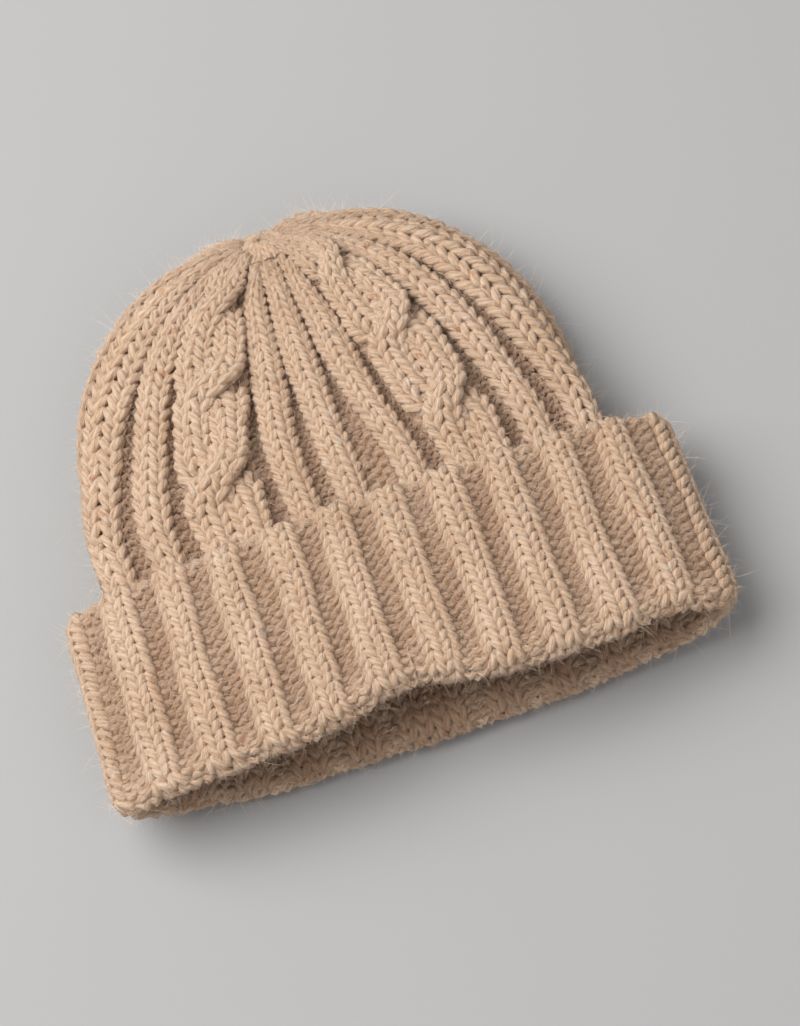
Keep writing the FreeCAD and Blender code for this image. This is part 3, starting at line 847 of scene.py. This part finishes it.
def crown_fabric():
    """The crown, from under the cuff's free edge to the gather."""
    if "crown" in FABRICS:
        return FABRICS["crown"]
    shape = Shape(bpy.context.scene.beanie_sizes)
    angle = ANGLES[:, None]
    tube_y = np.linspace(shape.y_edge - shape.overlap, shape.y_shoulder, 24)[None]
    tube = shape.tube(angle, tube_y + 0.0 * angle)
    share = np.linspace(0.0, 1.0, 260)[None, 1:]
    dome = shape.dome_point(angle + 1e-5, share + 0.0 * angle)
    points = np.concatenate([tube, dome], 1)
    pole = points[:, -1].mean(0)
    far = np.linalg.norm(points - pole, axis=-1)
    lengths = travelled(points)
    last = np.array(
        [np.interp(shape.gather_radius, far[i, ::-1][:200], lengths[i, ::-1][:200])
         for i in range(len(points))]
    )
    steps = shape.crown_rows * ROW_STEPS
    goals = last[:, None] * np.linspace(0.0, 1.0, steps + 1)[None]
    table = resample(points, goals)
    past = table[..., 1] - shape.y_edge
    lean = -3.2 * ease(past / 40.0)
    slack = -5.5 * np.clip(-table[..., 0] / 100.0, 0.0, 1.2) ** 2
    table[..., 0] += lean + slack * (1.0 - ease((past - 5.0) / 50.0))
    rows = np.arange(steps + 1) / ROW_STEPS
    fades = crown_fades(CROWN_KINDS)
    base = np.array([STITCH_WIDTH[kind] for kind in CROWN_KINDS])
    purl = np.array([kind == "P" for kind in CROWN_KINDS])[:, None]
    left = shape.crown_rows - fades[:, None] - rows[None]
    fade = np.where(fades[:, None] > 0.0, ease(left / 3.0 + 0.02), 1.0)
    gutter = 1.0 - 0.85 * ease((rows[None] + 2.0) / 24.0)
    widths = base[:, None] * np.where(purl, gutter, np.maximum(fade, 0.02))
    widths[1:3] *= 1.0 + 0.7 * (1.0 - ease(rows / 26.0))
    ring = shape.tube(ANGLES, shape.y_shoulder + 0.0 * ANGLES)
    places = boundary_places(ring, widths, CROWN_FRONT, CROWN_BACK)
    relief = {"K": 4.2, "P": -0.7, "C": 3.6}
    fabric = Fabric(CROWN_KINDS, table, 1.0, places, relief, shape.yarn, 11)
    fabric.fades = fades
    fabric.flat_rows = ((shape.crown_rows, 6.0, 1.0, 0.3),)
    fabric.edge_level = 2.0
    fabric.count = shape.crown_rows
    FABRICS["crown"] = fabric
    return fabric


def fold_wave(x):
    """How far the fold's front edge wanders along the hat, by place across it."""
    wave = -3.0 + 7.5 * np.exp(-(((x + 6.0) / 24.0) ** 2))
    return wave + 3.5 * np.exp(-(((x - 98.0) / 18.0) ** 2))


def cuff_fabric():
    """The cuff from its cast-on edge down to the fold, and on up the band inside it."""
    if "cuff" in FABRICS:
        return FABRICS["cuff"]
    shape = Shape(bpy.context.scene.beanie_sizes)
    half = shape.wall * 0.45
    roll = 2.4
    y_top = shape.y_edge - half - roll
    y_fold = shape.y_fold + half + (shape.band / 2.0 + shape.gap + half) / 2.0
    y_band = shape.y_edge - shape.overlap - 1.0

    def raised(face, y, lift):
        points = face(ANGLES, y + 0.0 * ANGLES)
        along = round_gradient(points[:, None])[:, 0]
        out = np.stack([-along[:, 2], 0.0 * along[:, 0], along[:, 0]], -1)
        out /= np.linalg.norm(out, axis=-1, keepdims=True)
        return points + out * lift, out

    stations = []
    top, out = raised(shape.cuff, y_top, half)
    upward = np.array([0.0, 1.0, 0.0])
    for turn in np.linspace(math.radians(115.0), 0.0, 14)[:-1]:
        centre = top - out * roll
        stations.append(centre + out * roll * math.cos(turn) + upward * roll * math.sin(turn))
    for y in np.linspace(y_top, y_fold, 40):
        stations.append(raised(shape.cuff, y, half)[0])
    outer = stations[-1]
    inner, _ = raised(shape.tube, y_fold, shape.band / 2.0)
    for turn in np.linspace(0.0, math.pi, 24)[1:]:
        arm = (outer - inner) / 2.0
        drop = np.linalg.norm(arm, axis=-1, keepdims=True) * upward * math.sin(turn)
        stations.append((outer + inner) / 2.0 + arm * math.cos(turn) - drop)
    fold_at = len(stations) - 12
    for y in np.linspace(y_fold, y_band, 30)[1:]:
        stations.append(raised(shape.tube, y, shape.band / 2.0)[0])
    points = np.stack(stations, 1)
    near_fold = ease((shape.y_fold + 42.0 - points[..., 1]) / 42.0)
    front = ease((points[..., 2] - 24.0) / 14.0)
    points[..., 1] += fold_wave(points[..., 0]) * near_fold * front
    bulge = np.clip(1.0 - ((points[..., 0] - 12.0) / 118.0) ** 2, 0.0, 1.0)
    points[..., 1] -= 6.0 * bulge * near_fold * (1.0 - ease((points[..., 2] - 8.0) / 22.0))
    lengths = travelled(points)
    turn_at = lengths[:, fold_at : fold_at + 1]
    cuff_share = np.linspace(0.0, 1.0, shape.cuff_rows * ROW_STEPS + 1)[None]
    band_share = np.linspace(0.0, 1.0, shape.band_rows * ROW_STEPS + 1)[None, 1:]
    goals = np.concatenate(
        [turn_at * cuff_share, turn_at + (lengths[:, -1:] - turn_at) * band_share], 1
    )
    table = resample(points, goals)
    base = np.array([STITCH_WIDTH[kind] for kind in CUFF_KINDS])
    widths = np.repeat(base[:, None], table.shape[1], 1)
    ring = shape.cuff(ANGLES, (shape.y_fold + shape.y_edge) / 2.0 + 0.0 * ANGLES)
    places = boundary_places(ring, widths, CUFF_FRONT, CUFF_BACK)
    relief = {"K": 1.1, "P": -2.8}
    fabric = Fabric(CUFF_KINDS, table, -1.0, places, relief, shape.yarn * 0.97, 12)
    fabric.fold = shape.cuff_rows
    # The band inside the cuff is seen from its inner face, where the painted shade is turned round.
    fabric.inside_from = shape.cuff_rows
    fabric.flat_rows = ((0.0, 2.4, 2.4, 0.25), (shape.cuff_rows, 4.0, 2.2, 0.15))
    fabric.edge_level = 0.5
    fabric.count = shape.cuff_rows + shape.band_rows
    FABRICS["cuff"] = fabric
    return fabric


def runs_of(kinds):
    """Runs of equal stitches round the hat as (kind, columns), the front's middle run first."""
    start = 0
    while kinds[start - 1] == kinds[0]:
        start -= 1
    result = []
    for place in range(start, start + len(kinds)):
        column = place % len(kinds)
        if result and result[-1][0] == kinds[column]:
            result[-1][1].append(column)
        else:
            result.append((kinds[column], [column]))
    return result


def knit_piece(name, fabric, column_runs, rows, group, nodes, seed, cable=None):
    """One piece of the fabric: the given runs of columns over the given rows."""
    rng = np.random.default_rng(seed)
    strands = []
    fades = fabric.fades
    for columns in column_runs:
        for row in rows:
            order = cable[1](row) if cable else columns
            alive = [c for c in order if fades[c] == 0.0 or row + 0.8 < fabric.count - fades[c]]
            if alive:
                strands.append(
                    stitch_row(fabric, alive, row, rng, cable[0] if cable else None)
                )
            if alive and cable:
                strands.append(stitch_row(fabric, columns, row, rng, lay_under))
    mesh = make_strand_mesh(name, strands, 1)
    remember_roots(group, strands)
    return add_piece(name, mesh, knit_material(), nodes)


# ---------------------------------------------------------------------------------------------
# Operators
# ---------------------------------------------------------------------------------------------


class BEANIE_OT_crown(Operator):
    """Knit the crown: its ribs, gutters and cables"""

    bl_idname = "beanie.crown"
    bl_label = "Crown"

    def execute(self, context):
        fabric = crown_fabric()
        rows = range(0, fabric.count - 1)
        names = iter(("front_right", "back_right", "back_left", "front_left"))
        sides = {"front": [], "right": [], "back": [], "left": []}
        rib = 0
        gutter = 0
        for kind, columns in runs_of(CROWN_KINDS):
            if kind == "P":
                gutter += 1
                side = "front" if gutter in (1, 2, 16, 17) else "back" if 8 <= gutter <= 10 else ""
                side = side or ("right" if gutter < 8 else "left")
                sides[side].append(columns)
            elif kind == "C":
                name = "cable_" + next(names)
                cable = cable_place(columns[0])
                knit_piece(
                    name, fabric, [columns], rows, "crown", [name], columns[0], cable
                )
            else:
                rib += 1
                name = "crown_rib_%02d" % rib
                knit_piece(name, fabric, [columns], rows, "crown", [name], rib)
        for number, (side, gutters) in enumerate(sides.items()):
            name = "crown_purl_" + side
            knit_piece(name, fabric, gutters, rows, "crown", [name], 90 + number)
        return {"FINISHED"}


class BEANIE_OT_cuff(Operator):
    """Knit the turned-up cuff: its ribs and gutters"""

    bl_idname = "beanie.cuff"
    bl_label = "Cuff"

    def execute(self, context):
        fabric = cuff_fabric()
        rows = range(1, fabric.fold - 2)
        halves = {"front": [], "back": []}
        rib = 0
        gutter = 0
        for kind, columns in runs_of(CUFF_KINDS):
            if kind == "P":
                gutter += 1
                halves["front" if gutter <= 6 or gutter >= 17 else "back"].append(columns)
            else:
                rib += 1
                name = "cuff_rib_%02d" % rib
                knit_piece(name, fabric, [columns], rows, "cuff", [name], 200 + rib)
        for number, (side, gutters) in enumerate(halves.items()):
            name = "cuff_purl_" + side
            knit_piece(name, fabric, gutters, rows, "cuff", [name], 300 + number)
        return {"FINISHED"}


class BEANIE_OT_edges(Operator):
    """Knit the fold at the opening, the band inside the cuff and the cast-on edge"""

    bl_idname = "beanie.edges"
    bl_label = "Fold, band and cast-on edge"

    def execute(self, context):
        fabric = cuff_fabric()
        fold = [list(range(fabric.round))]
        name = "turn_up_fold"
        rows = range(fabric.fold - 2, fabric.fold + 2)
        knit_piece(name, fabric, fold, rows, "cuff", [name], 400)
        rows = range(fabric.fold + 2, fabric.count - 1)
        spans = {"front": (-11, 11), "right": (11, 32), "back": (32, 54), "left": (54, 75)}
        for number, (side, (first, last)) in enumerate(spans.items()):
            name = "inner_band_" + side
            columns = [column % fabric.round for column in range(first, last)]
            knit_piece(name, fabric, [columns], rows, "band", [name], 410 + number)
        self.cast_on(fabric)
        return {"FINISHED"}

    def cast_on(self, fabric):
        """A first row of stitches, with the cast-on strand coiled along its edge."""
        rng = np.random.default_rng(420)
        strands = [stitch_row(fabric, list(range(fabric.round)), 0, rng)]
        count = fabric.round * 12
        across = np.arange(count + 1) / 12.0
        turn = across * 2.0 * math.pi
        level = fabric.profile(fabric.level, across)
        lift = level - 0.2 + 1.5 * np.sin(turn)
        along = 0.35 + 0.45 * np.cos(turn)
        points, normals = fabric.place(across, along, lift)
        radii = np.full(len(points), fabric.yarn * 0.42)
        # Painted shade: the cast-on coil is lighter where it turns up and darker where it turns under.
        depth = 0.6 + 0.35 * np.sin(turn)
        strands.append((settle(points, radii), radii, normals, depth))
        mesh = make_strand_mesh("cast_on_edge", strands, 1)
        remember_roots("cuff", strands)
        add_piece("cast_on_edge", mesh, knit_material(), ["cast_on_edge"])


class BEANIE_OT_joining(Operator):
    """Sew the back seam and draw the crown together"""

    bl_idname = "beanie.joining"
    bl_label = "Seam and gather"

    def execute(self, context):
        crown = crown_fabric()
        cuff = cuff_fabric()
        self.seam("back_seam_crown", crown, 1.0, crown.count - 6.0, -1.4)
        self.seam("back_seam_cuff", cuff, 1.0, cuff.fold - 2.0, -3.4)
        self.seam("back_seam_band", cuff, cuff.fold + 2.0, cuff.count - 1.0, 2.3)
        self.gather(crown)
        return {"FINISHED"}

    def seam(self, name, fabric, first, last, lift):
        """Ladder of small stitches that joins the two selvedges at the back's middle."""
        count = int((last - first) * 12)
        row = np.linspace(first, last, count)
        across = fabric.round / 2.0 + 0.26 * np.sin(row * 2.0 * math.pi)
        rise = lift + 0.5 * np.cos(row * 4.0 * math.pi)
        points, _ = fabric.place(across, row, rise + 0.0 * row)
        radii = np.full(count, fabric.yarn * 0.36)
        mesh = make_strand_mesh(name, [(settle(points, radii), radii)], 1)
        add_piece(name, mesh, knit_material(), [name])

    def gather(self, crown):
        """The closing yarn's ring, the loops drawn up on it, and its woven-in tail."""
        edge, normals = crown.place(
            np.linspace(0.0, crown.round - 0.001, 121), np.full(121, crown.count - 0.2), np.zeros(121)
        )
        centre = edge[:-1].mean(0)
        axis = normals[:-1].mean(0)
        axis /= np.linalg.norm(axis)
        side = np.array([1.0, 0.0, 0.0])
        up = np.cross(axis, side)
        rng = np.random.default_rng(7)

        def polar(turn, radius, lift):
            radius = np.asarray(radius)[..., None]
            lift = np.asarray(lift)[..., None]
            arm = np.cos(turn)[..., None] * side + np.sin(turn)[..., None] * up
            return centre + arm * radius + axis * lift

        turn = np.linspace(0.0, 2.0 * math.pi, 73)
        ring = polar(turn, 3.4 + 0.3 * np.sin(3 * turn), 1.3 + 0.4 * np.cos(5 * turn))
        mesh = make_strand_mesh("closing_yarn", [(ring, np.full(73, 1.35))], 2)
        add_piece("closing_yarn", mesh, knit_material(), ["closing_yarn"])
        loops = []
        for number in range(17):
            middle = 2.0 * math.pi * number / 17.0 + rng.uniform(-0.06, 0.06)
            bow = np.linspace(-1.0, 1.0, 15)
            reach = 2.1 + 7.5 * np.abs(bow) ** 1.3
            lift = 3.1 - 3.3 * np.abs(bow) ** 2 + rng.uniform(-0.2, 0.2)
            points = polar(middle + 0.16 * bow, reach, lift)
            loops.append((points, np.full(15, 1.5)))
            reach = 2.4 + 11.5 * np.abs(bow) ** 1.2
            lift = 2.2 - 2.2 * np.abs(bow) ** 2 + rng.uniform(-0.3, 0.3)
            loops.append((polar(middle + 0.18 + 0.13 * bow, reach, lift), np.full(15, 1.7)))
        spiral = np.linspace(0.0, 4.0 * math.pi, 60)
        loops.append((polar(spiral, 0.6 + spiral * 0.22, 0.2 + 0.0 * spiral), np.full(60, 1.3)))
        mesh = make_strand_mesh("crown_gather", loops, 1)
        add_piece("crown_gather", mesh, knit_material(), ["crown_gather"])
        low, high = (np.array(corner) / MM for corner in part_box("closing_yarn_tail"))
        along = np.linspace(0.0, 1.0, 30)
        start = np.array([(low[0] + high[0]) / 2, high[1], high[2] - 1.8])
        stop = np.array([(low[0] + high[0]) / 2, low[1], low[2] + 1.8])
        if high[2] - low[2] < 4.2:
            start[2] = stop[2] = (low[2] + high[2]) / 2
        tail = blend(start, stop, along[:, None])
        tail[:, 0] += 1.1 * np.sin(along * 14.0)
        mesh = make_strand_mesh("closing_yarn_tail", [(tail, np.full(30, 1.5))], 1)
        add_piece("closing_yarn_tail", mesh, knit_material(), ["closing_yarn_tail"])


class BEANIE_OT_halo(Operator):
    """Raise the loose fibres that stand out of the wool"""

    bl_idname = "beanie.halo"
    bl_label = "Loose fibres"

    def execute(self, context):
        sizes = context.scene.beanie_sizes
        shares = {"crown": (6, 1.0), "cuff": (6, 1.0), "band": (2, 0.3)}
        for number, (group, (pieces, share)) in enumerate(shares.items()):
            rng = np.random.default_rng(500 + number)
            strands = HALO_ROOTS[group]
            stitches = sum(len(s[0]) for s in strands) / SAMPLES
            total = int(stitches * sizes.halo * share / (1.0))
            for part in range(pieces):
                name = "%s_fibres_%d" % (group, part + 1)
                mesh = make_fibre_mesh(name, strands, total // pieces, sizes.halo_length / MM, rng)
                add_piece(name, mesh, fibre_material(), [])
        return {"FINISHED"}


class BEANIE_OT_stage(Operator):
    """Set the floor, the lights and the camera"""

    bl_idname = "beanie.stage"
    bl_label = "Studio"

    def execute(self, context):
        scene = context.scene
        scene.view_settings.view_transform = "Standard"
        self.floor(scene)
        self.lights(scene)
        self.camera(scene)
        return {"FINISHED"}

    def floor(self, scene):
        mesh = bpy.data.meshes.new("floor")
        shell = bmesh.new()
        bmesh.ops.create_grid(shell, x_segments=2, y_segments=2, size=4.0)
        shell.to_mesh(mesh)
        shell.free()
        material = bpy.data.materials.new("studio_floor")
        material.use_nodes = True
        tree = material.node_tree
        surface = tree.nodes["Principled BSDF"]
        place = tree.nodes.new("ShaderNodeTexCoord").outputs["Object"]
        colour = scene.beanie_colours.floor
        dark = tuple(value * 0.985 for value in colour)
        mottled = mix_colour(tree, noise(tree, place, 9.0, 2.0), tuple(colour), dark)
        link(tree, mottled, surface.inputs["Base Color"])
        surface.inputs["Roughness"].default_value = 0.9
        surface.inputs["Specular IOR Level"].default_value = 0.1
        mesh.materials.append(material)
        floor = bpy.data.objects.new("floor", mesh)
        scene.collection.objects.link(floor)

    def lights(self, scene):
        world = bpy.data.worlds.new("studio")
        world.use_nodes = True
        world.node_tree.nodes["Background"].inputs[0].default_value = (1.0, 0.99, 0.98, 1.0)
        world.node_tree.nodes["Background"].inputs[1].default_value = 0.32
        scene.world = world
        for name, spot, power, width, tint in (
            ("key", (-0.8, 0.4, 1.45), 39.0, 1.6, (1.0, 0.985, 0.96)),
            ("fill", (0.5, -1.1, 1.0), 4.0, 1.4, (0.97, 0.98, 1.0)),
        ):
            light = bpy.data.lights.new(name, "AREA")
            light.energy = power
            light.size = width
            light.color = tint
            lamp = bpy.data.objects.new(name, light)
            lamp.location = spot
            aim = Vector((0.0, 0.0, 0.02)) - Vector(spot)
            lamp.rotation_euler = aim.to_track_quat("-Z", "Y").to_euler()
            scene.collection.objects.link(lamp)

    def camera(self, scene):
        lens = bpy.data.cameras.new("camera")
        lens.sensor_fit = "HORIZONTAL"
        lens.sensor_width = 36.0
        lens.lens = 152.5
        rise = math.radians(66.0)
        roll = math.radians(19.2)
        target = Vector((0.0136, -0.029, 0.025))
        away = Vector((0.0, -math.cos(rise), math.sin(rise)))
        right = Vector((1.0, 0.0, 0.0))
        up = Vector((0.0, math.sin(rise), math.cos(rise)))
        turned_right = right * math.cos(roll) - up * math.sin(roll)
        turned_up = right * math.sin(roll) + up * math.cos(roll)
        camera = bpy.data.objects.new("camera", lens)
        turn = Matrix((turned_right, turned_up, away)).transposed()
        camera.matrix_world = Matrix.Translation(target + away * 1.3) @ turn.to_4x4()
        scene.collection.objects.link(camera)
        scene.camera = camera


class BEANIE_PT_panel(Panel):
    """Lists the hat's pieces, sizes and colours"""

    bl_idname = "BEANIE_PT_panel"
    bl_label = "Knit beanie"
    bl_space_type = "VIEW_3D"
    bl_region_type = "UI"
    bl_category = "Beanie"

    def draw(self, context):
        for operator in OPERATORS:
            self.layout.operator(operator.bl_idname)
        for group in (context.scene.beanie_sizes, context.scene.beanie_colours):
            column = self.layout.column()
            for key in group.__annotations__:
                column.prop(group, key)


OPERATORS = (
    BEANIE_OT_crown,
    BEANIE_OT_cuff,
    BEANIE_OT_edges,
    BEANIE_OT_joining,
    BEANIE_OT_halo,
    BEANIE_OT_stage,
)
CLASSES = (BeanieSizes, BeanieColours, *OPERATORS, BEANIE_PT_panel)


def register():
    for cls in CLASSES:
        bpy.utils.register_class(cls)
    bpy.types.Scene.beanie_sizes = PointerProperty(type=BeanieSizes)
    bpy.types.Scene.beanie_colours = PointerProperty(type=BeanieColours)


def unregister():
    del bpy.types.Scene.beanie_sizes
    del bpy.types.Scene.beanie_colours
    for cls in reversed(CLASSES):
        bpy.utils.unregister_class(cls)


def main():
    """Builds the whole hat and its studio."""
    register()
    bpy.ops.beanie.crown()
    bpy.ops.beanie.cuff()
    bpy.ops.beanie.edges()
    bpy.ops.beanie.joining()
    bpy.ops.beanie.halo()
    bpy.ops.beanie.stage()


if __name__ == "__main__":
    main()
